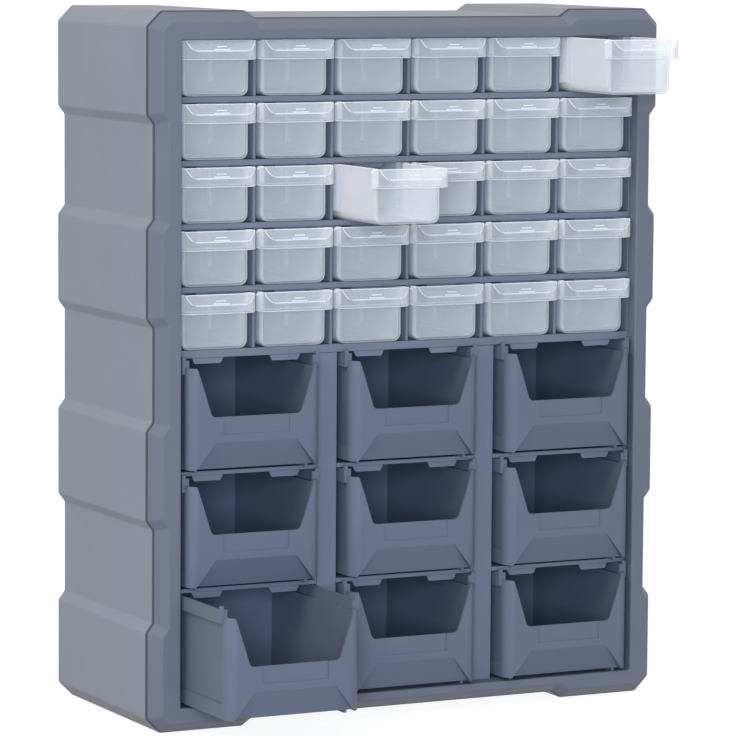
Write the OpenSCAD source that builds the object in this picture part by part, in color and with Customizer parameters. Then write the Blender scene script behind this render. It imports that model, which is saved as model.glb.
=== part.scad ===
// Parts bin cabinet: a stepped casing around a rack of small drawers above open-fronted bins.
// +X runs to the right, +Y to the back and +Z up. Drawers and bins slide along Y and open towards -Y.
// The origin is on the ground, in the middle of the width and of the depth at rest.

/* [Casing] */
// Width over the side pads
cabinet_w = 380; // [360:0.5:460]
// Height over the foot pads and the top pads
cabinet_h = 471.8; // [460:0.1:560]
// Depth of the casing, from the seam behind the front frame to its rear edge
casing_d = 148.6; // [146:0.1:220]
// Wall of the casing
shell_t = 2.6; // [2:0.1:3.5]
// Chamfer at the four long corners
corner_cut = 10; // [6:0.5:14]
// How far the raised pads stand out of the recessed bands
pad_step = 4.7; // [2:0.1:5.5]
// Length of the slope between a side pad and a band
step_run = 6; // [4:0.5:9]
// Length of the slope between a foot or top pad and its band
cap_step_run = 7; // [4:0.5:12]
// Height of the side pads at the top and bottom corners
end_pad_h = 67.1; // [50:0.1:80]
// Height of the two side pads in between
mid_pad_h = 58.7; // [40:0.1:70]
// Width of the foot pads and top pads
cap_pad_w = 69.5; // [50:0.5:110]
// Thickness of the ribs inside the casing that hold the rack
rib_t = 2; // [1.6:0.1:3]

/* [Front frame] */
// Depth of the frame in front of the seam
frame_d = 11; // [9:0.5:13]
// How far the sloped rim leans in over that depth
frame_slope = 7; // [4:0.5:8]
// Wall of the frame
frame_t = 2.4; // [1.8:0.1:2.8]
// Width of the frame beside the mouth
frame_side = 20.4; // [19:0.1:26]
// Height of the frame above the mouth
frame_top = 18.5; // [17.5:0.1:26]
// Height of the frame below the mouth
frame_bottom = 17; // [16.5:0.1:26]
// Radius of the mouth's front edge
mouth_round = 1.2; // [0.8:0.1:3]
// Length of the tongue that locates the frame inside the casing
tongue_len = 4; // [3:0.5:8]
// Thickness of the tongue
tongue_t = 1.6; // [1.2:0.1:2]

/* [Rack] */
// Thickness of the rack's four outer walls
rack_t = 3; // [2.4:0.1:4]
// Depth of the grooves that house the shelf ends
groove_d = 1.2; // [0.8:0.1:1.5]
// Number of small drawer columns
small_columns = 6; // [6:1:6]
// Number of small drawer rows
small_rows = 5; // [5:1:5]
// Clear height of a small drawer cell
small_clear_h = 37.4; // [34:0.1:42]
// Thickness of the small drawer shelves
rail_t = 3.8; // [2.5:0.1:5]
// Thickness of the upright partitions
partition_t = 2; // [1.4:0.1:3]
// Thickness of the shelf between the drawers and the bins
mid_shelf_t = 5.2; // [3:0.1:7]
// Number of bin columns
bin_columns = 3; // [3:1:3]
// Number of bin rows
bin_rows = 3; // [3:1:3]
// Width of the posts between the bins
post_w = 14.2; // [10:0.1:18]
// Wall of the posts
post_t = 2; // [1.6:0.1:3]
// Thickness of the bin shelves
bin_shelf_t = 2.8; // [2:0.1:4]

/* [Stops] */
// Width of a small drawer stop at the ceiling
small_stop_w = 23.7; // [16:0.1:30]
// Height of a small drawer stop
small_stop_h = 3.6; // [2:0.1:5]
// Distance of a small drawer stop behind the rack's front
small_stop_setback = 4; // [2:0.1:8]
// Width of a bin stop at the ceiling
bin_stop_w = 22.5; // [12:0.1:26]
// Height of a bin stop
bin_stop_h = 3.8; // [2:0.1:4.5]
// Distance of a bin stop behind the rack's front
bin_stop_setback = 0.5; // [0.2:0.1:4]
// Distance of a bin stop from the middle of its cell
bin_stop_x = 28; // [20:0.5:32]
// How much narrower each stop is at its foot
stop_taper = 3.6; // [1:0.1:6]
// Thickness of the stops
stop_t = 2; // [1.5:0.1:3]

/* [Small drawers] */
// Length of the drawer's box behind its lip
small_box_len = 121.6; // [100:0.1:128]
// Wall of the drawer
small_wall = 1.4; // [1:0.1:2]
// Gap between the drawer's side and its cell
small_side_gap = 3.4; // [3:0.1:6]
// Radius along the two lower side edges
small_edge_r = 5.5; // [3:0.1:8]
// Radius of the box's upright front corners
small_front_r = 2; // [1.5:0.1:5]
// Height of the lip
lip_h = 12.8; // [9:0.1:16]
// How far the lip stands in front of the box
lip_d = 10.8; // [8.5:0.1:14]
// Radius of the lip's upright corners
lip_r = 9; // [5:0.1:10]
// Radius of the lip's two upper corners, seen from the front
lip_top_r = 2; // [1:0.1:3]
// Height of the lip's upright band
lip_band_h = 5.9; // [4:0.1:8]
// How far the lip's upper face leans back
lip_lean = 2.9; // [1:0.1:4]
// Gap between neighbouring lips
lip_gap = 2.2; // [0.8:0.1:3]
// Length of the lower grip rib on the lip
grip_w = 11.5; // [8:0.5:16]
// Length of the upper grip rib
grip_top_w = 7.5; // [5:0.5:14]
// Thickness of the grip ribs
grip_t = 0.8; // [0.6:0.1:1]
// Spacing of the grip ribs above the lip's fold
grip_step = 2; // [1.5:0.1:2.4]
// Width of each divider channel in the side walls
channel_w = 11; // [7:0.5:16]
// How far a divider channel stands out of the side wall
channel_d = 2.9; // [2:0.1:3]
// Distance of the divider channels behind the box's front
channel_y = 51; // [30:0.5:80]
// Distance that the corner drawer of the top row stands open
first_open = 60; // [0:1:100]
// Distance that the third drawer of the third row stands open
second_open = 54; // [0:1:100]

/* [Bins] */
// Length of a bin
bin_len = 132; // [110:0.5:138]
// Wall of a bin
bin_wall = 1.8; // [1.4:0.1:2.4]
// Gap between the bin's rim and its cell
bin_side_gap = 2.3; // [1:0.1:4]
// How far the bin's front stands out of the rack
bin_reach = 15.7; // [12:0.1:22]
// Height of the rim band
rim_h = 9; // [6:0.1:12]
// How far the rim band stands out of the side wall
rim_jog = 3; // [2:0.1:4]
// Distance of the rim's front end behind the front plate
rim_setback = 8.5; // [8:0.1:12]
// Height of the band along the foot of the side wall
foot_band_h = 10; // [6:0.1:14]
// How far the foot band and the front plate stand out of the side wall
foot_jog = 1.1; // [0.5:0.1:1.6]
// Radius of the upright front corners
bin_corner_r = 8.5; // [6:0.1:10]
// How far the ears beside the cut-out stay below the rim
ear_drop = 4.9; // [4.5:0.1:8]
// Width of the cut-out at the top of the ears
cutout_top_w = 84.6; // [60:0.2:86]
// Width of the cut-out at its foot
cutout_foot_w = 64; // [40:0.5:70]
// Height of the cut-out's foot above the cell floor
cutout_z = 37; // [30:0.5:50]
// Radius of the cut-out's lower corners
cutout_r = 4; // [2:0.5:8]
// Width of the label recess
label_w = 47.6; // [30:0.1:56]
// Height of the label recess's foot above the cell floor
label_z = 25.4; // [22.5:0.1:28]
// Depth of the label recess
label_d = 0.8; // [0.4:0.1:1]
// Height of the scooped panel's top edge above the cell floor
scoop_z = 20.4; // [14:0.1:22]
// Width of the scooped panel at its top edge
scoop_top_w = 58; // [40:0.5:64]
// Width of the scooped panel at its foot
scoop_foot_w = 86; // [66:0.5:88]
// How far the scooped panel leans back
scoop_lean = 7; // [3:0.1:9]
// Height of the runners under the bin
runner_h = 2.3; // [1.5:0.1:3]
// Width of the runners
runner_w = 2; // [1.5:0.1:4]
// Distance of the runners from the middle of the bin
runner_x = 40; // [20:0.5:42]
// Height of the nubs at the rim's front ends
nub_h = 2.5; // [1.5:0.1:3]
// Distance that the left bin of the bottom row stands open
bin_open = 60; // [0:1:100]

/* [Back panel and screws] */
// Thickness of the back panel
panel_t = 2.6; // [2:0.1:3.5]
// Distance of the back panel inside the casing's rear edge
panel_recess = 2.6; // [2.4:0.1:5]
// Radius of the keyholes' round mouths
keyhole_r = 4.5; // [4:0.1:6]
// Half the width of the keyholes' slots
keyhole_slot_r = 2.2; // [1.8:0.1:2.6]
// Height of a keyhole's slot above the middle of its mouth
keyhole_rise = 9; // [7:0.5:12]
// Radius of a screw's thread
screw_r = 1.4; // [1.2:0.05:1.7]
// Length of a screw under its head
screw_len = 12; // [9:0.5:16]
// Radius of a screw's head
screw_head_r = 2.9; // [2.6:0.1:3.4]
// Height of a screw's head
screw_head_h = 1.8; // [1.4:0.1:2.2]
// Radius of the screw bosses in the casing
boss_r = 4.2; // [3.8:0.1:5]
// Length of the screw bosses
boss_len = 30; // [20:1:45]

/* [Clearances] */
// Gap at the seam between the front frame and the casing
seam_gap = 0.3; // [0.2:0.1:0.5]
// Gap around parts that slot into each other
slot_gap = 0.15; // [0.1:0.05:0.3]
// Gap under a sliding drawer or bin
seat_gap = 0.2; // [0.1:0.05:0.3]
// Gap above a drawer or bin
head_gap = 0.5; // [0.4:0.1:0.9]
// Gap between a closed drawer's box and the rack's front plane
close_gap = 0.6; // [0.4:0.1:1]
// Gap around a screw in its pilot hole
pilot_gap = 0.08; // [0.05:0.01:0.15]

/* [Hidden] */
$fn = 48;
overlap = 1;
corner_steps = 8;

mouth_w = cabinet_w - 2 * frame_side;
mouth_bottom = frame_bottom;
mouth_top = cabinet_h - frame_top;
mouth_h = mouth_top - mouth_bottom;
band_h = (cabinet_h - 2 * end_pad_h - 2 * mid_pad_h - 6 * step_run) / 3;
mid_pad_z = end_pad_h + step_run + band_h + step_run + mid_pad_h / 2;
pad_heights = [end_pad_h / 2, mid_pad_z, cabinet_h - mid_pad_z, cabinet_h - end_pad_h / 2];
band_heights = [end_pad_h + step_run + band_h / 2, cabinet_h / 2, cabinet_h - end_pad_h - step_run - band_h / 2];

panel_y = casing_d - panel_recess - panel_t;
rack_d = panel_y - slot_gap;
rack_mid_y = rack_d / 2;
shelf_w = mouth_w + 2 * (groove_d - slot_gap);

small_pitch = mouth_w / small_columns;
small_step = small_clear_h + rail_t;
mid_shelf_top = mouth_top - small_rows * small_step + rail_t;
mid_shelf_bottom = mid_shelf_top - mid_shelf_t;
bin_clear_h = (mid_shelf_bottom - mouth_bottom - (bin_rows - 1) * bin_shelf_t) / bin_rows;
bin_cell_w = (mouth_w - (bin_columns - 1) * post_w) / bin_columns;
bin_pitch = bin_cell_w + post_w;

small_w = small_pitch - partition_t - 2 * small_side_gap;
small_top = small_clear_h - head_gap;
lip_w = small_pitch - lip_gap;
lip_z = small_top - lip_h;
lip_front = -close_gap - lip_d;
lip_slope = lip_lean / (lip_h - lip_band_h);
lip_angle = atan(lip_slope);
box_back = small_box_len - close_gap;

bin_top = bin_clear_h - head_gap;
bin_front = -bin_reach;
bin_back = bin_len - bin_reach;
rim_half_w = bin_cell_w / 2 - bin_side_gap;
side_half_w = rim_half_w - rim_jog;
plate_half_w = side_half_w + foot_jog;
rim_z = bin_top - rim_h;
rim_front = bin_front + rim_setback;
ear_z = bin_top - ear_drop;
bin_floor_z = seat_gap + runner_h;

open_reach = max(bin_reach + bin_open, close_gap + lip_d + max(first_open, second_open));
depth_mid = (casing_d - open_reach) / 2;

boss_x = cabinet_w / 2 - shell_t - boss_r + overlap;
pilot_r = screw_r + pilot_gap;
screw_hole_r = screw_r + slot_gap;
keyhole_x = small_pitch * (small_columns - 1) / 2;
keyhole_z = mouth_top - small_clear_h / 2 - keyhole_rise / 2;

grey = [0.47, 0.50, 0.56];
light_grey = [0.56, 0.59, 0.64];
frosted = [0.84, 0.87, 0.90];
steel = [0.75, 0.75, 0.77];

// Places of the cells, counted from the top left
function small_x(c) = (c - (small_columns + 1) / 2) * small_pitch;
function small_z(r) = mouth_top - r * small_step + rail_t;
function bin_x(c) = (c - (bin_columns + 1) / 2) * bin_pitch;
function bin_z(r) = mouth_bottom + (bin_rows - r) * (bin_clear_h + bin_shelf_t);
function small_open(r, c) = r == 1 && c == small_columns ? first_open : r == 3 && c == 3 ? second_open : 0;
function bin_opened(r, c) = r == bin_rows && c == 1 ? bin_open : 0;

// One quarter of the casing's front outline, moved inwards by d, from the middle of the right side to the top.
// A slope between a pad and a band moves towards the pad as it goes inwards.
function quarter(d) =
    let (x = cabinet_w / 2 - d)
    let (z = cabinet_h / 2 - d)
    let (side = d * tan(atan2(pad_step, step_run) / 2))
    let (cap = d * tan(atan2(pad_step, cap_step_run) / 2))
    let (cut = (corner_cut - d) + d * tan(22.5))
    let (z1 = band_h / 2 + side)
    let (z2 = band_h / 2 + 2 * step_run + mid_pad_h - side)
    let (z3 = band_h / 2 + 2 * step_run + mid_pad_h + band_h + side)
    let (cap_x = cabinet_w / 2 - cap_pad_w + cap)
    [
        [x - pad_step, z1],
        [x, z1 + step_run],
        [x, z2 - step_run],
        [x - pad_step, z2],
        [x - pad_step, z3],
        [x, z3 + step_run],
        [x, z - cut],
        [x - cut, z],
        [cap_x, z],
        [cap_x - cap_step_run, z - pad_step]
    ];
function flipped(list) = [for (i = [len(list) - 1:-1:0]) list[i]];
function scaled(list, sx, sz) = [for (p = list) [p[0] * sx, p[1] * sz]];
function outline(d) =
    let (q = quarter(d))
    let (loop = concat(q, flipped(scaled(q, -1, 1)), scaled(q, -1, -1), flipped(scaled(q, 1, -1))))
    [for (p = loop) [p[0], p[1] + cabinet_h / 2]];

// Extrudes a front-view outline in X and Z between two depths
module along_y(y0, y1) {
    translate([0, y1, 0]) rotate([90, 0, 0]) linear_extrude(y1 - y0) children();
}

// Extrudes a side-view outline in Y and Z across a width that is centred on X = 0
module along_x(w) {
    rotate([90, 0, 90]) linear_extrude(w, center = true) children();
}

// A box centred on X = 0 between two depths and two heights
module block(w, y0, y1, z0, z1) {
    translate([-w / 2, y0, z0]) cube([w, y1 - y0, z1 - z0]);
}

// Moves a piece from the seam's frame, with Y = 0 at the rack's front, to the cabinet's origin
module seated() {
    translate([0, -depth_mid, 0]) children();
}

// A solid between two depths whose outline is moved inwards by d0 at the first and d1 at the second.
// Each end is a fan of triangles around its middle, because the outline has inward corners.
module tapered_outline(y0, d0, y1, d1) {
    rear = outline(d0);
    front = outline(d1);
    n = len(rear);
    middles = [[0, y0, cabinet_h / 2], [0, y1, cabinet_h / 2]];
    points = concat([for (p = rear) [p[0], y0, p[1]]], [for (p = front) [p[0], y1, p[1]]], middles);
    ends = [for (i = [0:n - 1]) each [[i, (i + 1) % n, 2 * n], [n + (i + 1) % n, n + i, 2 * n + 1]]];
    sides = [for (i = [0:n - 1]) each [[i, (i + 1) % n + n, (i + 1) % n], [i, i + n, (i + 1) % n + n]]];
    polyhedron(points, concat(ends, sides));
}

// ---- Casing ----

module rack_ribs() {
    rib_front = tongue_len + 2 * overlap;
    half_w = mouth_w / 2 + rack_t + slot_gap;
    low = mouth_bottom - rack_t - slot_gap;
    high = mouth_top + rack_t + slot_gap;
    intersection() {
        along_y(rib_front, panel_y - slot_gap) polygon(outline(shell_t / 2));
        union() {
            for (x = [-bin_pitch, -bin_pitch / 2, bin_pitch / 2, bin_pitch]) translate([x, 0, 0]) {
                block(rib_t, 0, casing_d, 0, low);
                block(rib_t, 0, casing_d, high, cabinet_h);
            }
            for (z = band_heights, side = [-1, 1]) {
                translate([side * (half_w + frame_side / 2), 0, 0])
                    block(frame_side, 0, casing_d, z - rib_t / 2, z + rib_t / 2);
            }
        }
    }
}

module at_screws() {
    for (z = pad_heights, side = [-1, 1]) translate([side * boss_x, 0, z]) rotate([90, 0, 0]) children();
}

module casing() color(light_grey) seated() {
    difference() {
        union() {
            along_y(0, casing_d) difference() {
                polygon(outline(0));
                polygon(outline(shell_t));
            }
            rack_ribs();
            translate([0, panel_y - slot_gap, 0]) at_screws() cylinder(h = boss_len, r = boss_r);
        }
        translate([0, panel_y, 0]) at_screws() cylinder(h = screw_len + overlap, r = pilot_r);
    }
}

// ---- Front frame ----

// The corner that is cut away to round one straight edge of the mouth, along a length
module edge_cutter(len) {
    difference() {
        along_x(len) translate([-frame_d - overlap, -overlap]) square(mouth_round + overlap);
        translate([0, mouth_round - frame_d, mouth_round]) rotate([0, 90, 0])
            cylinder(h = len + 2 * overlap, r = mouth_round, center = true);
    }
}

module mouth_edges() {
    translate([0, 0, mouth_bottom]) mirror([0, 0, 1]) edge_cutter(mouth_w);
    translate([0, 0, mouth_top]) edge_cutter(mouth_w);
    for (side = [-1, 1]) translate([side * mouth_w / 2, 0, (mouth_bottom + mouth_top) / 2])
        rotate([0, side * 90, 0]) edge_cutter(mouth_h);
}

function frame_inset(y) = -y / frame_d * frame_slope;

module front_frame() color(grey) seated() {
    hollow_front = -frame_d + frame_t;
    tongue_in = shell_t + slot_gap;
    difference() {
        tapered_outline(-seam_gap, frame_inset(-seam_gap), -frame_d, frame_slope);
        difference() {
            tapered_outline(
                overlap, frame_inset(overlap) + shell_t,
                hollow_front, frame_inset(hollow_front) + shell_t
            );
            block(mouth_w + 2 * frame_t, -frame_d, overlap * 2, mouth_bottom - frame_t, mouth_top + frame_t);
        }
        block(mouth_w, -frame_d - overlap, overlap, mouth_bottom, mouth_top);
        mouth_edges();
    }
    difference() {
        along_y(-tongue_len, tongue_len) polygon(outline(tongue_in));
        along_y(-tongue_len - overlap, tongue_len + overlap) polygon(outline(tongue_in + tongue_t));
    }
}

// ---- Back panel and its screws ----

module keyhole() {
    circle(keyhole_r);
    translate([-keyhole_slot_r, 0]) square([2 * keyhole_slot_r, keyhole_rise]);
    translate([0, keyhole_rise]) circle(keyhole_slot_r);
}

module back_panel() color(grey) seated() {
    difference() {
        along_y(panel_y, panel_y + panel_t) difference() {
            polygon(outline(shell_t + slot_gap));
            for (side = [-1, 1]) translate([side * keyhole_x, keyhole_z]) keyhole();
        }
        translate([0, casing_d, 0]) at_screws() cylinder(h = casing_d / 2, r = screw_hole_r);
    }
}

module panel_screws() color(steel) seated() {
    translate([0, panel_y + panel_t, 0]) at_screws() difference() {
        union() {
            cylinder(h = screw_len, r = screw_r);
            translate([0, 0, -screw_head_h]) cylinder(h = screw_head_h, r = screw_head_r);
        }
        for (turn = [0, 90]) rotate([0, 0, turn])
            translate([0, 0, -screw_head_h]) cube([screw_head_r, screw_r / 2, screw_head_h], center = true);
    }
}

// ---- Rack ----

module rack_shell() color(grey) seated() {
    difference() {
        block(mouth_w + 2 * rack_t, 0, rack_d, mouth_bottom - rack_t, mouth_top + rack_t);
        block(mouth_w, -overlap, rack_d + overlap, mouth_bottom, mouth_top);
        for (r = [1:small_rows]) shelf_groove(small_z(r), r == small_rows ? mid_shelf_t : rail_t);
        for (r = [1:bin_rows - 1]) shelf_groove(bin_z(r), bin_shelf_t);
    }
}

module shelf_groove(top, t) {
    block(mouth_w + 2 * groove_d, -overlap, rack_d + overlap, top - t - slot_gap, top + slot_gap);
}

module mid_shelf() color(grey) seated() {
    block(shelf_w, 0, rack_d, mid_shelf_bottom, mid_shelf_top);
}

// Small shelves are slotted from the rear, so that their fronts run across the partitions
module small_shelf(r) color(grey) seated() {
    difference() {
        block(shelf_w, 0, rack_d, small_z(r) - rail_t, small_z(r));
        for (c = [1:small_columns - 1]) translate([small_x(c) + small_pitch / 2, 0, 0])
            block(partition_t + 2 * slot_gap, rack_mid_y, rack_d + overlap, 0, cabinet_h);
    }
}

// Partitions are slotted from the front where the shelves cross them
module small_partition(c) color(grey) seated() {
    translate([small_x(c) + small_pitch / 2, 0, 0]) difference() {
        block(partition_t, 0, rack_d, mid_shelf_top + slot_gap, mouth_top - slot_gap);
        for (r = [1:small_rows - 1])
            block(2 * partition_t, -overlap, rack_mid_y + slot_gap, small_z(r) - rail_t - slot_gap, small_z(r) + slot_gap);
    }
}

// Bin posts are channels, open to the rear, and slotted from the rear where the bin shelves cross them
module bin_post(c) color(grey) seated() {
    translate([bin_x(c) + bin_pitch / 2, 0, 0]) difference() {
        block(post_w, 0, rack_d, mouth_bottom + slot_gap, mid_shelf_bottom - slot_gap);
        block(post_w - 2 * post_t, post_t, rack_d + overlap, 0, cabinet_h);
        for (r = [1:bin_rows - 1])
            block(2 * post_w, rack_mid_y, rack_d + overlap, bin_z(r) - bin_shelf_t - slot_gap, bin_z(r) + slot_gap);
    }
}

// Bin shelves are notched from the front, so that the posts' fronts run past them
module bin_shelf(r) color(grey) seated() {
    difference() {
        block(shelf_w, 0, rack_d, bin_z(r) - bin_shelf_t, bin_z(r));
        for (c = [1:bin_columns - 1]) translate([bin_x(c) + bin_pitch / 2, 0, 0])
            block(post_w + 2 * slot_gap, -overlap, rack_mid_y + slot_gap, 0, cabinet_h);
    }
}

// A stop hangs from a cell's ceiling and narrows towards its foot
module stop(w, h, y) {
    foot = w - stop_taper;
    along_y(y, y + stop_t) polygon([[-w / 2, 0], [w / 2, 0], [foot / 2, -h], [-foot / 2, -h]]);
}

module small_drawer_stops() color(grey) seated() {
    for (r = [1:small_rows], c = [1:small_columns])
        translate([small_x(c), 0, small_z(r) + small_clear_h]) stop(small_stop_w, small_stop_h, small_stop_setback);
}

module bin_stops() color(grey) seated() {
    for (r = [1:bin_rows], c = [1:bin_columns], side = [-1, 1])
        translate([bin_x(c) + side * bin_stop_x, 0, bin_z(r) + bin_clear_h])
            stop(bin_stop_w, bin_stop_h, bin_stop_setback);
}

// ---- Small drawers ----

// A plan outline with two round front corners, whose rear edge may be nearer than a corner's diameter
module round_fronted(w, y0, y1, r) {
    translate([-w / 2, y0 + r]) square([w, y1 - y0 - r]);
    intersection() {
        translate([-w / 2, y0]) square([w, y1 - y0]);
        union() {
            translate([r - w / 2, y0]) square([w - 2 * r, y1 - y0]);
            for (side = [-1, 1]) translate([side * (w / 2 - r), y0 + r]) circle(r);
        }
    }
}

// A front-view outline with two round lower corners
module round_footed(w, z0, z1, r) {
    translate([-w / 2, z0 + r]) square([w, z1 - z0 - r]);
    translate([r - w / 2, z0]) square([w - 2 * r, z1 - z0]);
    for (side = [-1, 1]) translate([side * (w / 2 - r), z0 + r]) circle(r);
}

// The drawer's box, or its inside when t is the wall: a round-edged trough below the lip, square above it
module small_box(t) {
    y0 = t - close_gap;
    y1 = box_back - t;
    w = small_w - 2 * t;
    ledge = lip_z + small_wall;
    intersection() {
        translate([0, 0, seat_gap + t]) linear_extrude(ledge - seat_gap) round_fronted(w, y0, y1, small_front_r - t / 2);
        along_y(y0, y1) round_footed(w, seat_gap + t, ledge, small_edge_r - t);
    }
    block(w, t == 0 ? y0 : y0 - 2 * t, y1, ledge, t == 0 ? small_top : small_clear_h);
}

// The lip, or its inside when t is the wall: round corners and an upper face that leans back
module small_lip(t) {
    y0 = lip_front + t;
    z0 = lip_z + t;
    top = t == 0 ? small_top : small_clear_h;
    fold = lip_front + t / cos(lip_angle);
    band = lip_z + lip_band_h;
    reach = lip_slope * (top + overlap - band);
    difference() {
        translate([0, 0, z0]) linear_extrude(top - z0)
            round_fronted(lip_w - 2 * t, y0, -close_gap - t, lip_r - t);
        along_x(small_pitch) polygon([
            [fold - overlap - reach, band - overlap],
            [fold - lip_slope * overlap, band - overlap],
            [fold + reach, top + overlap],
            [fold - overlap - reach, top + overlap]
        ]);
    }
}

// The lip seen from the front, with two round upper corners
module lip_view() {
    along_y(lip_front, 0) mirror([0, 1]) round_footed(lip_w, -small_top, -lip_z, lip_top_r);
}

module divider_channels(t) {
    w = channel_w - 2 * t;
    z0 = seat_gap + small_edge_r + t;
    translate([0, channel_y - close_gap + t, 0])
        block(small_w + 2 * (channel_d - t), 0, w, z0, t == 0 ? small_top : small_clear_h);
}

module grip_ribs() {
    lengths = [grip_w, grip_top_w];
    translate([0, lip_front, lip_z + lip_band_h]) rotate([-lip_angle, 0, 0])
        for (i = [0:1]) translate([0, 0, (i + 1 / 2) * grip_step])
            block(lengths[i], -grip_t / 2, grip_t / 2, -grip_t / 2, grip_t / 2);
}

module small_drawer(r, c) color(frosted) seated() {
    translate([small_x(c), -small_open(r, c), small_z(r)]) {
        difference() {
            union() {
                small_box(0);
                intersection() {
                    small_lip(0);
                    lip_view();
                }
                divider_channels(0);
            }
            small_box(small_wall);
            small_lip(small_wall);
            divider_channels(small_wall);
        }
        grip_ribs();
    }
}

// ---- Bins ----

module bin_outside() {
    translate([0, 0, bin_floor_z]) linear_extrude(foot_band_h)
        round_fronted(2 * plate_half_w, bin_front, bin_back, bin_corner_r);
    translate([0, 0, bin_floor_z]) linear_extrude(rim_z + bin_wall - bin_floor_z)
        round_fronted(2 * side_half_w, bin_front, bin_back, bin_corner_r);
    translate([0, 0, bin_floor_z]) linear_extrude(ear_z - bin_floor_z)
        round_fronted(2 * plate_half_w, bin_front, rim_front + bin_wall, bin_corner_r);
    block(2 * rim_half_w, rim_front, bin_back, rim_z, bin_top);
}

module bin_inside() {
    translate([0, 0, bin_floor_z + bin_wall]) linear_extrude(bin_clear_h)
        round_fronted(2 * (side_half_w - bin_wall), bin_front + bin_wall, bin_back - bin_wall, bin_corner_r - bin_wall);
    block(2 * (rim_half_w - bin_wall), rim_front + bin_wall, bin_back - bin_wall, rim_z + bin_wall, bin_clear_h);
}

// The cut-out in the front plate: straight slanting sides and two round lower corners
module cutout() {
    lean = atan((cutout_top_w - cutout_foot_w) / 2 / (ear_z - cutout_z));
    centre_x = cutout_foot_w / 2 - cutout_r / tan(45 + lean / 2);
    centre_z = cutout_z + cutout_r;
    top_x = cutout_foot_w / 2 + (bin_clear_h - cutout_z) * tan(lean);
    corner = [for (i = [0:corner_steps]) let (a = (lean - 90) * i / corner_steps - lean)
        [centre_x + cutout_r * cos(a), centre_z + cutout_r * sin(a)]];
    half = concat([[top_x, bin_clear_h]], corner);
    polygon(concat(half, flipped(scaled(half, -1, 1))));
}

// The space in front of the scooped panel, grown by t all round
module scoop(t) {
    slope = scoop_lean / (scoop_z - bin_floor_z);
    back = bin_front + t / cos(atan(slope));
    low = bin_floor_z - overlap;
    spread = (scoop_foot_w - scoop_top_w) / 2 / (scoop_z - bin_floor_z);
    top_half = scoop_top_w / 2 + t;
    foot_half = top_half + spread * (scoop_z - low);
    intersection() {
        along_y(bin_front - overlap, bin_front + bin_len / 4)
            polygon([[-foot_half, low], [foot_half, low], [top_half, scoop_z + t], [-top_half, scoop_z + t]]);
        along_x(bin_cell_w) polygon([
            [bin_front - overlap, low],
            [back + slope * (scoop_z - low), low],
            [back, scoop_z],
            [back - slope * (t + overlap), scoop_z + t + overlap],
            [bin_front - overlap, scoop_z + t + overlap]
        ]);
    }
}

module rim_nubs() {
    for (side = [-1, 1]) translate([side * (rim_half_w - nub_h / 2), rim_front, bin_top]) {
        block(nub_h, 0, nub_h, -overlap, nub_h / 2);
        translate([0, nub_h / 2, nub_h / 2]) rotate([0, 90, 0]) cylinder(h = nub_h, r = nub_h / 2, center = true);
    }
}

module runners() {
    for (side = [-1, 1]) translate([side * runner_x, 0, 0])
        block(runner_w, bin_front + bin_corner_r, bin_back - bin_wall, seat_gap, bin_floor_z + bin_wall / 2);
}

module bin(r, c) color(grey) seated() {
    translate([bin_x(c), -bin_opened(r, c), bin_z(r)]) difference() {
        union() {
            difference() {
                bin_outside();
                bin_inside();
            }
            intersection() {
                scoop(bin_wall);
                bin_outside();
            }
            rim_nubs();
            runners();
        }
        scoop(0);
        along_y(bin_front - overlap, rim_front - overlap) cutout();
        block(label_w, bin_front - overlap, bin_front + label_d, label_z, cutout_z + overlap);
    }
}

casing();
front_frame();
back_panel();
panel_screws();
rack_shell();
mid_shelf();
for (i = [1:small_rows - 1]) small_shelf(i);
for (i = [1:small_columns - 1]) small_partition(i);
for (i = [1:bin_columns - 1]) bin_post(i);
for (i = [1:bin_rows - 1]) bin_shelf(i);
small_drawer_stops();
bin_stops();
for (r = [1:small_rows], c = [1:small_columns])
    small_drawer(r, c);
for (r = [1:bin_rows], c = [1:bin_columns])
    bin(r, c);
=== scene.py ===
import math

import bmesh
import bpy
import numpy as np
from mathutils import Matrix, Vector


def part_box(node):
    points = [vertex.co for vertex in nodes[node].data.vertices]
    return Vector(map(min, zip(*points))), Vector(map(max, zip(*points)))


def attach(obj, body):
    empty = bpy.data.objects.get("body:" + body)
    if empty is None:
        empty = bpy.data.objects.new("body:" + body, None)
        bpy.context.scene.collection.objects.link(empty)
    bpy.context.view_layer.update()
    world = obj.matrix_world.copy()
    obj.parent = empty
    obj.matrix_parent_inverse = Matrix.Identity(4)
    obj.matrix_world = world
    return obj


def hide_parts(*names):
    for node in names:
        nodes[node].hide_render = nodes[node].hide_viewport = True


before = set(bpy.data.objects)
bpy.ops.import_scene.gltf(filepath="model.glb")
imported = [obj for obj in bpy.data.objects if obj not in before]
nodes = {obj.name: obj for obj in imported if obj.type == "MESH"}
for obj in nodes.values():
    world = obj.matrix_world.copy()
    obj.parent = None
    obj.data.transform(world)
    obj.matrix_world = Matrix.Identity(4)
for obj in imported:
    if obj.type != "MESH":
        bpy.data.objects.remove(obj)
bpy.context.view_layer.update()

# ---- Casing ------------------------------------------------------------------------------------
# The outer shell: one deep moulding in matt grey polypropylene whose outline steps in and out
# between raised pads, so that cabinets stack. Everything else sits inside it.

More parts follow.
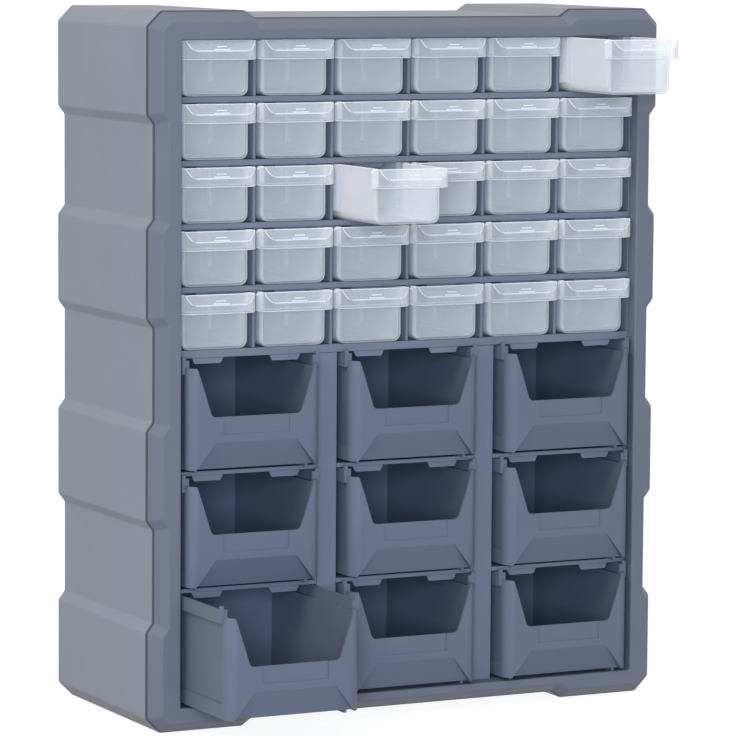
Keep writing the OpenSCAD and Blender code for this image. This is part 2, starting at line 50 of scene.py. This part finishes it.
mm = 0.001
casing_low, casing_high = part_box("casing")
casing_wall = 2.6 * mm
pad_step = 4.7 * mm
step_run = 6 * mm
cap_step_run = 7 * mm
end_pad = 67.1 * mm
mid_pad = 58.7 * mm
cap_pad = 69.5 * mm
corner_cut = 10 * mm
step_round = 3 * mm
seam_round = 0.8 * mm
rear_round = 0.8 * mm
arc_steps = 5
same_point = 0.002 * mm
crisp_angle = math.radians(34)
plastic_ior = 1.49
plastic_shine = 0.2
pits_per_metre = 1400
clouds_per_metre = 22
scuffs_per_metre = 90
casing_grey = (0.285, 0.293, 0.308)
casing_shade = (0.273, 0.281, 0.297)


def rounded_line(points, radii):
    """An open line with its inner corners replaced by arcs of arc_steps points each. A point of an
    arc lies at start + radius * (sin a * direction + (1 - cos a) * normal)."""
    p = np.asarray(points, float)
    r = np.broadcast_to(np.asarray(radii, float), len(p) - 2)[:, None]
    come = p[1:-1] - p[:-2]
    leave = p[2:] - p[1:-1]
    come /= np.linalg.norm(come, axis=1, keepdims=True)
    leave /= np.linalg.norm(leave, axis=1, keepdims=True)
    cross = come[:, 0] * leave[:, 1] - come[:, 1] * leave[:, 0]
    turn = np.arctan2(np.abs(cross), (come * leave).sum(1))[:, None]
    normal = np.stack([-come[:, 1], come[:, 0]], 1) * np.sign(cross)[:, None]
    start = p[1:-1] - come * r * np.tan(turn / 2)
    a = (turn * np.linspace(0, 1, arc_steps))[:, :, None]
    arcs = start[:, None] + r[:, None] * (np.sin(a) * come[:, None] + (1 - np.cos(a)) * normal[:, None])
    return np.vstack([p[:1], arcs.reshape(-1, 2), p[-1:]])


def rounded_loop(points, radii):
    """A closed line with all its corners replaced by arcs."""
    p = np.asarray(points, float)
    return rounded_line(np.vstack([p[-1:], p, p[:1]]), radii)[1:-1]


def cabinet_outline(inset):
    """The stepped front outline moved inwards: one quarter as a line of corners, mirrored twice,
    with the same soft radius at every corner."""
    half_w = (casing_high.x - casing_low.x) / 2 - inset
    mid_z = (casing_high.z + casing_low.z) / 2
    half_h = (casing_high.z - casing_low.z) / 2 - inset
    band = ((casing_high.z - casing_low.z) - 2 * end_pad - 2 * mid_pad - 6 * step_run) / 3
    side = inset * math.tan(math.atan2(pad_step, step_run) / 2)
    cap = inset * math.tan(math.atan2(pad_step, cap_step_run) / 2)
    cut = corner_cut - inset + inset * math.tan(math.pi / 8)
    z1 = band / 2 + side
    z2 = band / 2 + 2 * step_run + mid_pad - side
    z3 = z2 + 2 * side + band
    cap_x = half_w + inset - cap_pad + cap
    quarter = np.array([
        (half_w - pad_step, z1), (half_w, z1 + step_run), (half_w, z2 - step_run), (half_w - pad_step, z2),
        (half_w - pad_step, z3), (half_w, z3 + step_run), (half_w, half_h - cut), (half_w - cut, half_h),
        (cap_x, half_h), (cap_x - cap_step_run, half_h - pad_step),
    ])
    flip = np.array([-1, 1])
    corners = np.vstack([quarter, quarter[::-1] * flip, -quarter, -quarter[::-1] * flip])
    return rounded_loop(corners, step_round) + np.array([0, mid_z])


def standing(loop, y):
    """A loop of X and Z as points at the depth y."""
    return np.stack([loop[:, 0], np.broadcast_to(y, len(loop)), loop[:, 1]], 1)


def grid_faces(rows, columns, wrap_rows):
    """The four-sided faces of a grid whose point (i, j) has the number i * columns + j. The last
    column joins the first, and the last row joins the first if wrap_rows is set."""
    i = np.arange(rows if wrap_rows else rows - 1)[:, None]
    j = np.arange(columns)[None, :]
    ahead, beside = (i + 1) % rows, (j + 1) % columns
    corners = [i * columns + j, i * columns + beside, ahead * columns + beside, ahead * columns + j]
    return np.stack([np.broadcast_to(c, (len(i), j.shape[1])) for c in corners], -1).reshape(-1, 4)


def surface(points, wrap_rows=False, caps=False):
    """A grid of points as vertices and faces, with its first and last row closed if caps is set.
    Faces are turned so that the closed surface holds a positive volume."""
    rows, columns = points.shape[:2]
    faces = grid_faces(rows, columns, wrap_rows).tolist()
    flat = points.reshape(-1, 3)
    if caps:
        faces += [list(range(columns))[::-1], list(range((rows - 1) * columns, rows * columns))]
    first = np.array([f[0] for f in faces for _ in f[2:]])
    second = np.array([v for f in faces for v in f[1:-1]])
    third = np.array([v for f in faces for v in f[2:]])
    volume = np.einsum("ij,ij->", flat[first], np.cross(flat[second], flat[third]))
    if volume < 0:
        faces = [f[::-1] for f in faces]
    return flat, faces


def piece(name, surfaces, materials, stands_for, body="cabinet", paint=None):
    """One object from several closed surfaces, smooth up to crisp_angle, with flat faces left flat.
    paint holds the number of each face's material, counted from the first surface's first face. The
    faces past its end take the second material."""
    points, faces, start = [], [], 0
    for flat, quads in surfaces:
        points.append(flat)
        faces += [[v + start for v in f] for f in quads]
        start += len(flat)
    mesh = bpy.data.meshes.new(name)
    mesh.from_pydata(np.vstack(points).tolist(), [], faces)
    if paint is not None:
        rest = np.ones(len(faces) - len(paint))
        mesh.polygons.foreach_set("material_index", np.append(paint, rest).astype(np.int32))
    bm = bmesh.new()
    bm.from_mesh(mesh)
    bmesh.ops.remove_doubles(bm, verts=bm.verts, dist=same_point)
    bm.to_mesh(mesh)
    bm.free()
    mesh.shade_smooth()
    mesh.set_sharp_from_angle(angle=crisp_angle)
    for material in materials:
        mesh.materials.append(material)
    made = bpy.data.objects.new(name, mesh)
    bpy.context.scene.collection.objects.link(made)
    flatten = made.modifiers.new("flat faces", "WEIGHTED_NORMAL")
    flatten.keep_sharp = True
    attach(made, body)
    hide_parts(stands_for)


def moulded_grain():
    """The spark-eroded grain of a moulding tool, as a node group: fine pits, broad cloudy tone, and
    scuffs. Height is the pits, Tone and Scuff are masks from 0 to 1."""
    group = bpy.data.node_groups.new("moulded_grain", "ShaderNodeTree")
    for label in ("Pits per metre", "Clouds per metre", "Scuffs per metre"):
        group.interface.new_socket(label, in_out="INPUT", socket_type="NodeSocketFloat")
    for label in ("Height", "Tone", "Scuff"):
        group.interface.new_socket(label, in_out="OUTPUT", socket_type="NodeSocketFloat")
    add, link = group.nodes.new, group.links.new
    entry = add("NodeGroupInput")
    result = add("NodeGroupOutput")
    where = add("ShaderNodeTexCoord")
    pits = add("ShaderNodeTexNoise")
    pits.inputs["Detail"].default_value = 2
    pits.inputs["Roughness"].default_value = 0.6
    clouds = add("ShaderNodeTexNoise")
    clouds.inputs["Detail"].default_value = 3
    scuffs = add("ShaderNodeTexNoise")
    scuffs.inputs["Detail"].default_value = 5
    scuffs.inputs["Roughness"].default_value = 0.7
    scuffs.inputs["Distortion"].default_value = 1.2
    for texture, label in ((pits, "Pits"), (clouds, "Clouds"), (scuffs, "Scuffs")):
        link(where.outputs["Object"], texture.inputs["Vector"])
        link(entry.outputs[label + " per metre"], texture.inputs["Scale"])
    spread = add("ShaderNodeMapRange")
    spread.inputs["From Min"].default_value = 0.3
    spread.inputs["From Max"].default_value = 0.7
    link(clouds.outputs["Fac"], spread.inputs["Value"])
    rare = add("ShaderNodeMapRange")
    rare.inputs["From Min"].default_value = 0.52
    rare.inputs["From Max"].default_value = 0.74
    link(scuffs.outputs["Fac"], rare.inputs["Value"])
    link(pits.outputs["Fac"], result.inputs["Height"])
    link(spread.outputs["Result"], result.inputs["Tone"])
    link(rare.outputs["Result"], result.inputs["Scuff"])
    return group


grain = moulded_grain()


def moulded_plastic(name, colour, shade, roughness=0.5, polish=0.12, pit_depth=0.02 * mm):
    """Matt plastic: colour clouds over to shade, scuffs polish it a little, and pits break its gloss."""
    material = bpy.data.materials.new(name)
    material.use_nodes = True
    tree = material.node_tree
    shader = tree.nodes["Principled BSDF"]
    shader.inputs["IOR"].default_value = plastic_ior
    shader.inputs["Specular IOR Level"].default_value = plastic_shine
    texture = tree.nodes.new("ShaderNodeGroup")
    texture.node_tree = grain
    texture.inputs["Pits per metre"].default_value = pits_per_metre
    texture.inputs["Clouds per metre"].default_value = clouds_per_metre
    texture.inputs["Scuffs per metre"].default_value = scuffs_per_metre
    tint = tree.nodes.new("ShaderNodeMix")
    tint.data_type = "RGBA"
    tint.inputs["A"].default_value = (*colour, 1)
    tint.inputs["B"].default_value = (*shade, 1)
    tree.links.new(texture.outputs["Tone"], tint.inputs["Factor"])
    tree.links.new(tint.outputs["Result"], shader.inputs["Base Color"])
    gloss = tree.nodes.new("ShaderNodeMapRange")
    gloss.inputs["To Min"].default_value = roughness
    gloss.inputs["To Max"].default_value = roughness - polish
    tree.links.new(texture.outputs["Scuff"], gloss.inputs["Value"])
    tree.links.new(gloss.outputs["Result"], shader.inputs["Roughness"])
    bump = tree.nodes.new("ShaderNodeBump")
    bump.inputs["Distance"].default_value = pit_depth
    tree.links.new(texture.outputs["Height"], bump.inputs["Height"])
    tree.links.new(bump.outputs["Normal"], shader.inputs["Normal"])
    return material


casing_plastic = moulded_plastic("casing_plastic", casing_grey, casing_shade, roughness=0.65)
casing_depth = casing_high.y - casing_low.y
shell_section = rounded_loop(
    [(0, 0), (casing_depth, 0), (casing_depth, casing_wall), (0, casing_wall)],
    [seam_round, rear_round, rear_round, seam_round],
)
shell = np.stack([standing(cabinet_outline(inset), casing_low.y + y) for y, inset in shell_section])

# Painted shadow: the front edge, down in the seam before the front frame, takes a near-black colour that
# stands in for the seam's shadow.
painted_seam_shadow = moulded_plastic("painted_seam_shadow", (0.085, 0.088, 0.100), (0.080, 0.083, 0.095))
shell_row = np.arange(len(shell))
in_seam = (shell_row < arc_steps - 1) | (shell_row == len(shell) - 1)
piece(
    "casing_shell", [surface(shell, wrap_rows=True)], [casing_plastic, painted_seam_shadow],
    "casing", paint=np.repeat(in_seam, shell.shape[1]),
)

# ---- Rack --------------------------------------------------------------------------------------
# The grid of cells: four outer walls, shelves, partitions and hollow posts, moulded in the same
# darker grey, slotted into each other and held by the casing's ribs.

rack_grey = (0.184, 0.197, 0.227)
rack_shade = (0.172, 0.185, 0.215)
nose_round = 0.5 * mm
rack_wall = 3 * mm
rack_low, rack_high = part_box("rack_shell")
mouth_low = np.array([rack_low.x + rack_wall, rack_low.z + rack_wall])
mouth_high = np.array([rack_high.x - rack_wall, rack_high.z - rack_wall])
rack_plastic = moulded_plastic("rack_plastic", rack_grey, rack_shade)


def softened(name, width, material):
    """A node of the frame with its loose triangles joined, its sharp edges rounded, and its finish. The
    rounding stops before edges overlap, so nodes with tiny edges, such as bins, stay nearly sharp."""
    made = nodes[name]
    weld = made.modifiers.new("joined", "WELD")
    weld.merge_threshold = same_point
    if width:
        edge = made.modifiers.new("edges", "BEVEL")
        edge.width = width
        edge.segments = 3
        edge.limit_method = "ANGLE"
        edge.angle_limit = math.radians(40)
        edge.harden_normals = True
    made.data.materials.clear()
    made.data.materials.append(material)


rack_kinds = (
    "rack_shell", "small_shelf", "mid_shelf", "small_partition", "small_drawer_stops",
    "bin_post", "bin_shelf", "bin_stops",
)
for name in [n for n in nodes if n.startswith(rack_kinds)]:
    softened(name, nose_round, rack_plastic)

# ---- Small drawers -----------------------------------------------------------------------------
# Thirty shallow troughs in frosted, see-through plastic, each one moulding: a thin-walled box with
# a divider channel in each side, and a hollow lip to pull, which leans back above its fold.

drawer_wall = 1.4 * mm
drawer_gap = 3.4 * mm
partition = 2 * mm
seat_gap = 0.2 * mm
close_gap = 0.6 * mm
lip_reach = 10.8 * mm
lip_round = 9 * mm
lip_height = 12.8 * mm
lip_gap = 2.2 * mm
band_height = 5.9 * mm
lean = 2.9 / 6.9
corner_drop = 2 * mm
foot_round = 5.5 * mm
front_round = 2 * mm
end_round = 1 * mm
channel_depth = 2.9 * mm
channel_start = 50.4 * mm
channel_end = 61.4 * mm
box_length = 121 * mm
drawer_top = 36.9 * mm
lip_foot = drawer_top - lip_height
fold_z = lip_foot + band_height
pitch = (mouth_high[0] - mouth_low[0]) / 6
box_half = (pitch - partition) / 2 - drawer_gap
lip_half = (pitch - lip_gap) / 2
lip_face = -close_gap - lip_reach
ridge_width = 0.45 * mm
edge_round = 0.8 * mm
turn_columns = 5
arc_columns = 9
face_columns = 4


def side_columns(x, back, inset, bulge):
    """The plan from the middle of the back to the front of the side: a round rear corner, then the
    divider channel, whose line steps out of the side by bulge and back in, a little slanted."""
    a = np.linspace(0, np.pi / 2, 4)
    corner = np.column_stack([x - end_round * (1 - np.sin(a)), back - end_round * (1 - np.cos(a))])
    out = np.array([0, 0.15, 0.85, 1]) * bulge
    along = np.array([0.7, 0.15, -0.1, -0.6]) * mm - inset
    rear = np.column_stack([x + out, channel_end + along])
    front = np.column_stack([x + out[::-1], channel_start - along[::-1]])
    return np.vstack([[(0, back)], corner, rear, front, [(x, 3 * mm)]])


def across_face(edge):
    """Places across the front, from just inside the ridge to the middle."""
    return np.linspace(edge - ridge_width, 0, face_columns)


def box_row(z, inset, side=0.0, end=0.0, bulge=channel_depth):
    """Half of the plan below the lip: a rectangle with round corners, moved in by inset, by side at
    the sides and by end at both ends."""
    x = box_half - inset - side
    front = -close_gap + inset + end
    r = front_round - inset / 2
    a = np.linspace(0, np.pi / 2, turn_columns)
    corner = np.column_stack([x - r + r * np.cos(a), front + r - r * np.sin(a)])
    edge = lip_half - lip_round
    across = np.append(np.linspace(x - r, edge, arc_columns + 2)[1:], across_face(edge))
    straight = np.column_stack([across, np.full(len(across), front)])
    line = np.vstack([side_columns(x, box_length - inset - end, inset, bulge), corner, straight])
    return np.column_stack([line, np.full(len(line), z)])


def lip_row(z, inset, tuck=0.0, low=0.0):
    """Half of the plan at the lip: the box's side, a flange out to the lip's side, an arc down to
    the ridge, and the face, which leans back above the fold. The arc ends where sin a = (centre -
    face) / radius. Near the lip's upper corners, a share low of the drop r - sqrt(r^2 - d^2) is
    taken off the height, where d is how far the point lies inside the corner's radius."""
    x, wide = box_half - inset, lip_half - inset - tuck
    r = lip_round - inset - tuck
    centre_x, centre_y = lip_half - lip_round, lip_face + lip_round
    face = lip_face + tuck + max(inset, lean * (z - fold_z) + inset * math.hypot(1, lean))
    end = math.asin(min(1.0, (centre_y - face) / r))
    ear = x + (wide - x) * np.linspace(0, 1, turn_columns) ** 0.6
    flange = np.column_stack([ear, np.full(turn_columns, -close_gap - inset)])
    a = np.append(np.linspace(0, end - ridge_width / r, arc_columns), end)
    arc = np.column_stack([centre_x + r * np.cos(a), centre_y - r * np.sin(a)])
    across = across_face(arc[-1, 0])
    straight = np.column_stack([across, np.full(len(across), face)])
    line = np.vstack([side_columns(x, box_length - inset, inset, channel_depth), flange, arc, straight])
    reach = np.clip(line[:, 0] - (lip_half - corner_drop), 0, corner_drop)
    drop = np.where(line[:, 1] < 0, corner_drop - np.sqrt(corner_drop**2 - reach**2), 0)
    return np.column_stack([line, z - low * drop])


def foot_rows(inset):
    """The rows of the round foot, from the floor up: a quarter arc at the sides, a smaller one at
    the ends, then the foot of the divider channels."""
    r = foot_round - inset
    rows = []
    for a in np.radians([0, 15, 30, 45, 60, 75, 90]):
        rise = r * (1 - math.cos(a))
        end = end_round - math.sqrt(end_round**2 - max(0, end_round - rise) ** 2)
        rows.append(box_row(seat_gap + inset + rise, inset, r * (1 - math.sin(a)), end, 0))
    channel_foot = seat_gap + foot_round + inset
    rows.append(box_row(channel_foot, inset, bulge=0))
    rows.append(box_row(channel_foot + 0.15 * mm, inset, bulge=0.85 * channel_depth))
    rows.append(box_row(channel_foot + 0.6 * mm, inset))
    return rows


low_from, low_to = fold_z + ridge_width, drawer_top - 0.5 * mm
upright = np.array([0.45, 1.2, 2.2, 3.5, 5, 6.4]) * mm + fold_z
rim_steps = np.array([(0.12, 0.2), (0.45, 0), (0.95, 0), (1.28, 0.2)]) * mm


def share(z):
    """How much of the corners' drop a row at the height z takes: none at the fold, all at the rim."""
    return min(max((z - low_from) / (low_to - low_from), 0), 1)


outer_rows = foot_rows(0) + [box_row(lip_foot - 0.6 * mm, 0), box_row(lip_foot, 0)]
foot_edge = len(outer_rows)
for a in np.radians([0, 30, 60, 90]):
    outer_rows += [lip_row(lip_foot + edge_round * (1 - math.cos(a)), 0, edge_round * (1 - math.sin(a)))]
band = len(outer_rows)
outer_rows += [lip_row(fold_z - ridge_width, 0), lip_row(fold_z, 0)]
outer_rows += [lip_row(z, 0, low=share(z)) for z in upright]
rim = len(outer_rows)
rim_rows = [lip_row(drawer_top - drop, inset, low=1.0) for inset, drop in rim_steps]
inner_rows = [lip_row(z, drawer_wall, low=share(z)) for z in upright[::-1]]
inner_rows += [lip_row(fold_z - 0.6 * mm, drawer_wall), lip_row(lip_foot + drawer_wall, drawer_wall)]
lip_floor = rim + len(rim_rows) + len(inner_rows) - 1
inner_rows += [box_row(lip_foot + drawer_wall, drawer_wall)] + foot_rows(drawer_wall)[::-1]
half_plan = np.stack(outer_rows + rim_rows + inner_rows)
mirrored = half_plan[:, -2:0:-1] * np.array([-1, 1, 1])
drawer_skin = np.concatenate([half_plan, mirrored], 1)
drawer_columns = drawer_skin.shape[1]
ridge = half_plan.shape[1] - face_columns - 1
flange = ridge - arc_columns - turn_columns
front = flange + turn_columns - 1

# Each face of the grid gets its finish by the number of its row and by how many columns it lies from
# the back's middle. The rim, the lip's lower edge, the fold and the ridge are thicker and less
# see-through, and they are also made paler: a painted highlight along these edges.
row = np.arange(len(drawer_skin) - 1)[:, None]
beside = np.arange(drawer_columns)[None, :]
beside = np.minimum(beside, drawer_columns - 1 - beside)
bright = (row >= rim - 1) & (row < rim + len(rim_steps))
bright = bright | ((row >= foot_edge) & (row < band - 1) & (beside >= flange))
bright = bright | ((row >= band) & (row < band + 2) & (beside >= ridge))
bright = bright | ((row >= band + 1) & (row < rim) & ((beside == ridge - 1) | (beside == ridge)))

# The front and the lip are clearer than the sides, but for the lowest rows of the foot.
lowest = 2
window = (beside >= front) | (beside >= flange) & (row >= foot_edge) & (row < lip_floor)
window = window & (row >= lowest) & (row < len(row) - lowest)
as_wall, as_edge, as_floor, as_window = range(4)
finish = np.where(bright, as_edge, np.where(window, as_window, as_wall))
# The two caps, the floor outside and inside, take a darker grey than the walls: painted shade on the
# drawer's floor.
drawer_paint = np.append(finish.ravel(), [as_floor, as_floor])


def grip(width, above):
    """A round bar half sunk into the leaning face, at a distance above the fold, with round ends."""
    rise = math.atan(lean)
    ends = np.array([0.25, 0.8, 1])
    size = 0.4 * mm * np.append(ends, ends[::-1])
    x = np.array([0, 0.15, 0.4]) * mm - width / 2
    x = np.append(x, -x[::-1])
    a = np.linspace(0, 2 * np.pi, 10, endpoint=False)
    y = lip_face + above * math.sin(rise) + size[:, None] * np.cos(a) * 0.9
    z = fold_z + above * math.cos(rise) + size[:, None] * np.sin(a)
    return surface(np.stack([np.broadcast_to(x[:, None], y.shape), y, z], -1), caps=True)


def frosted(name, colour, thin, thick):
    """Milky plastic that is seen through: its cover grows from thin, seen straight on, to thick, seen
    along the wall. Its colour and gloss are even: the grain gets no contrast and no depth here."""
    material = moulded_plastic(name, colour, colour, roughness=0.25, polish=0.0, pit_depth=0.0)
    tree = material.node_tree
    slant = tree.nodes.new("ShaderNodeLayerWeight")
    cover = tree.nodes.new("ShaderNodeMapRange")
    cover.inputs["To Min"].default_value = thin
    cover.inputs["To Max"].default_value = thick
    tree.links.new(slant.outputs["Facing"], cover.inputs["Value"])
    tree.links.new(cover.outputs["Result"], tree.nodes["Principled BSDF"].inputs["Alpha"])
    return material


# The second finish, for the thick edges, is paler as a painted highlight; the third, for the floor, is
# darker grey as painted shade.
frosted_finishes = [
    frosted("frosted_plastic", (0.99, 0.965, 0.915), 0.3, 0.68),
    frosted("frosted_edge_highlight", (1.0, 0.98, 0.935), 0.55, 0.95),
    frosted("frosted_floor_painted_shade", (0.60, 0.61, 0.62), 0.6, 0.9),
    frosted("frosted_window", (1.0, 0.965, 0.91), 0.18, 0.68),
]
trough = surface(drawer_skin, caps=True)
long_grip = grip(11.5 * mm, 1 * mm)
short_grip = grip(7.5 * mm, 3 * mm)
for name in [n for n in nodes if n.startswith("small_drawer_r")]:
    low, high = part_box(name)
    place = np.array([(low.x + high.x) / 2, low.y - lip_face, low.z - seat_gap])
    placed = [(flat + place, faces) for flat, faces in (trough, long_grip, short_grip)]
    piece(
        name.replace("small_drawer", "frosted"), placed, frosted_finishes,
        name, name, drawer_paint,
    )

# ---- Bins --------------------------------------------------------------------------------------
# Nine open-fronted bins in dark grey, each one moulding: a thin box with a stepped rim and a low
# front, a recess for a label, a scoop below it to pull by, and runners that slide on the shelf.

bin_edge = 0.4 * mm
bin_grey = (0.139, 0.154, 0.185)
bin_shade = (0.132, 0.148, 0.178)
bin_plastic = moulded_plastic("bin_plastic", bin_grey, bin_shade)
for name in [n for n in nodes if n.startswith("bin_r")]:
    softened(name, bin_edge, bin_plastic)

# ---- Front frame -------------------------------------------------------------------------------
# The sloped bezel that closes the casing around the rack's mouth: a thin hollow moulding in the
# darker grey, with a tongue behind it that slots into the casing. A narrow seam stays between them.

seam_y = casing_low.y
seam_gap = 0.3 * mm
frame_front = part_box("front_frame")[0].y
frame_rear = seam_y - seam_gap
frame_slope = 7 * mm
frame_wall = 2.4 * mm
fold_round = 1.8 * mm
mouth_round = 1.2 * mm
mouth_corner = 1.5 * mm
fold_loop = cabinet_outline(frame_slope)


def mouth_outline(grow):
    """The mouth's rectangle moved outwards, with one point for each point of the fold's loop: the
    nearest point of the core inside the round corners, moved towards the fold by their radius."""
    core = np.clip(fold_loop, mouth_low + mouth_corner, mouth_high - mouth_corner)
    way = fold_loop - core
    return core + way / np.linalg.norm(way, axis=1, keepdims=True) * (mouth_corner + grow)


def inset_at(y):
    """How far the sloped rim stands in from the casing's outline at the depth y."""
    return (seam_y - y) / (seam_y - frame_front) * frame_slope


rim_corners = [
    (frame_rear, casing_wall), (frame_rear, inset_at(frame_rear)),
    (frame_front, frame_slope), (frame_front, 2 * frame_slope),
]
rim_line = rounded_line(rim_corners, [seam_round, fold_round])
mouth_corners = [
    (frame_front, frame_slope), (frame_front, 0),
    (frame_rear, 0), (frame_rear, frame_wall),
]
mouth_line = rounded_line(mouth_corners, [mouth_round, seam_round / 2])
hollow_y = frame_front + frame_wall
frame_rows = [standing(cabinet_outline(inset), y) for y, inset in rim_line[:-1]]
frame_rows += [standing(mouth_outline(grow), y) for y, grow in mouth_line[1:]]
frame_rows += [standing(mouth_outline(frame_wall), hollow_y)]
frame_rows += [standing(cabinet_outline(inset_at(y) + casing_wall), y) for y in (hollow_y, frame_rear)]
tongue_reach = 4 * mm
tongue_gap = 0.15 * mm
tongue_wall = 1.6 * mm
tongue_corners = [
    (-tongue_reach, 0), (tongue_reach, 0),
    (tongue_reach, tongue_wall), (-tongue_reach, tongue_wall),
]
tongue_section = rounded_loop(tongue_corners, tongue_wall / 4)
tongue = np.stack([
    standing(cabinet_outline(casing_wall + tongue_gap + inset), seam_y + y) for y, inset in tongue_section
])
frame_plastic = moulded_plastic("frame_plastic", (0.156, 0.161, 0.179), (0.148, 0.153, 0.171))
piece(
    "bezel", [surface(np.stack(frame_rows), wrap_rows=True), surface(tongue, wrap_rows=True)],
    [frame_plastic], "front_frame",
)

# ---- Back panel and screws ---------------------------------------------------------------------
# A flat plate of the rack's plastic closes the rear, with two keyholes to hang the cabinet by. Eight
# zinc-plated steel screws hold it to bosses in the casing.

screw_edge = 0.1 * mm
softened("back_panel", 0, rack_plastic)
zinc_steel = moulded_plastic("zinc_steel", (0.62, 0.62, 0.60), (0.55, 0.55, 0.54), roughness=0.35)
zinc_steel.node_tree.nodes["Principled BSDF"].inputs["Metallic"].default_value = 1
softened("panel_screws", screw_edge, zinc_steel)

# ---- Stage -------------------------------------------------------------------------------------
# A pale floor that keeps the cabinet's shadow and looks white itself, a soft world that looks white
# too, and four soft lamps: high on the left, above, low in front, and behind.

floor_half = 4.0
floor_glow = 0.26
floor_white = 0.9
world_glow = 0.45
world_white = 1.1


def seen(tree):
    """1 for a ray that shows the background to the camera, straight on, mirrored or through clear
    plastic, and 0 for a ray that lights a surface."""
    rays = tree.nodes.new("ShaderNodeLightPath")
    mask = rays.outputs["Is Camera Ray"]
    for kind in ("Is Glossy Ray", "Is Transmission Ray"):
        larger = tree.nodes.new("ShaderNodeMath")
        larger.operation = "MAXIMUM"
        tree.links.new(mask, larger.inputs[0])
        tree.links.new(rays.outputs[kind], larger.inputs[1])
        mask = larger.outputs[0]
    return mask


def glow_level(tree, mask, unseen, white):
    """A strength that goes from unseen to white with the mask."""
    level = tree.nodes.new("ShaderNodeMapRange")
    level.inputs["To Min"].default_value = unseen
    level.inputs["To Max"].default_value = white
    tree.links.new(mask, level.inputs["Value"])
    return level.outputs["Result"]


floor_corners = [(x * floor_half, y * floor_half, 0) for x, y in ((-1, -1), (1, -1), (1, 1), (-1, 1))]
floor_mesh = bpy.data.meshes.new("floor")
floor_mesh.from_pydata(floor_corners, [], [(0, 1, 2, 3)])
floor = bpy.data.objects.new("floor", floor_mesh)
bpy.context.scene.collection.objects.link(floor)
floor_paint = bpy.data.materials.new("floor_paint")
floor_paint.use_nodes = True
tree = floor_paint.node_tree
shader = tree.nodes["Principled BSDF"]
shader.inputs["Base Color"].default_value = (0.22, 0.22, 0.22, 1)
shader.inputs["Roughness"].default_value = 0.9
shader.inputs["Specular IOR Level"].default_value = 0
shader.inputs["Emission Color"].default_value = (1, 1, 1, 1)
tree.links.new(glow_level(tree, seen(tree), floor_glow, floor_white), shader.inputs["Emission Strength"])
floor_mesh.materials.append(floor_paint)

world = bpy.data.worlds.new("studio")
bpy.context.scene.world = world
world.use_nodes = True
tree = world.node_tree
sky = tree.nodes["Background"]
mask = seen(tree)
sky_tint = tree.nodes.new("ShaderNodeMix")
sky_tint.data_type = "RGBA"
sky_tint.inputs["A"].default_value = (0.95, 0.98, 1.04, 1)
sky_tint.inputs["B"].default_value = (0.97, 0.99, 1, 1)
tree.links.new(mask, sky_tint.inputs["Factor"])
tree.links.new(sky_tint.outputs["Result"], sky.inputs["Color"])
tree.links.new(glow_level(tree, mask, world_glow, world_white), sky.inputs["Strength"])


def lamp(name, place, size, power, colour):
    """A square soft lamp at a place, turned to a point in the cabinet's middle."""
    light = bpy.data.lights.new(name, "AREA")
    light.size = size
    light.energy = power
    light.color = colour
    made = bpy.data.objects.new(name, light)
    aim = np.array((0, 0, 0.25)) - np.array(place)
    made.rotation_mode = "QUATERNION"
    made.rotation_quaternion = Vector(aim).to_track_quat("-Z", "Y")
    made.location = place
    bpy.context.scene.collection.objects.link(made)
    return made


lamp("key_lamp", (-2.2, -1.2, 2.4), 1.6, 40, (1.0, 0.98, 0.94))
lamp("top_lamp", (0.2, -0.4, 3.0), 2.0, 12, (0.92, 0.98, 1.12))
fill_lamp = lamp("fill_lamp", (-1.40, -2.75, 0.58), 0.9, 58, (0.72, 0.93, 1.35))
rear_lamp = lamp("rear_lamp", (1.8, 2.8, 1.5), 2.0, 40, (0.92, 0.98, 1.12))
for soft in (fill_lamp, rear_lamp):  # light without a highlight
    soft.visible_glossy = False

# ---- Camera ------------------------------------------------------------------------------------
# A long lens in front on the left, a little above the cabinet's top edge, and turned down to it.

camera_data = bpy.data.cameras.new("camera")
camera_data.sensor_width = 36
camera_data.lens = 203.97
camera = bpy.data.objects.new("camera", camera_data)
bpy.context.scene.collection.objects.link(camera)
camera_turn = Matrix.Rotation(-0.46756, 4, "Z")
camera_tilt = Matrix.Rotation(math.pi / 2 - 0.10913, 4, "X")
camera_roll = Matrix.Rotation(0.0072, 4, "Z")
camera_place = Matrix.Translation((-1.27156, -2.49753, 0.53622))
camera.matrix_world = camera_place @ camera_turn @ camera_tilt @ camera_roll
bpy.context.scene.camera = camera
bpy.context.scene.view_settings.view_transform = "Standard"
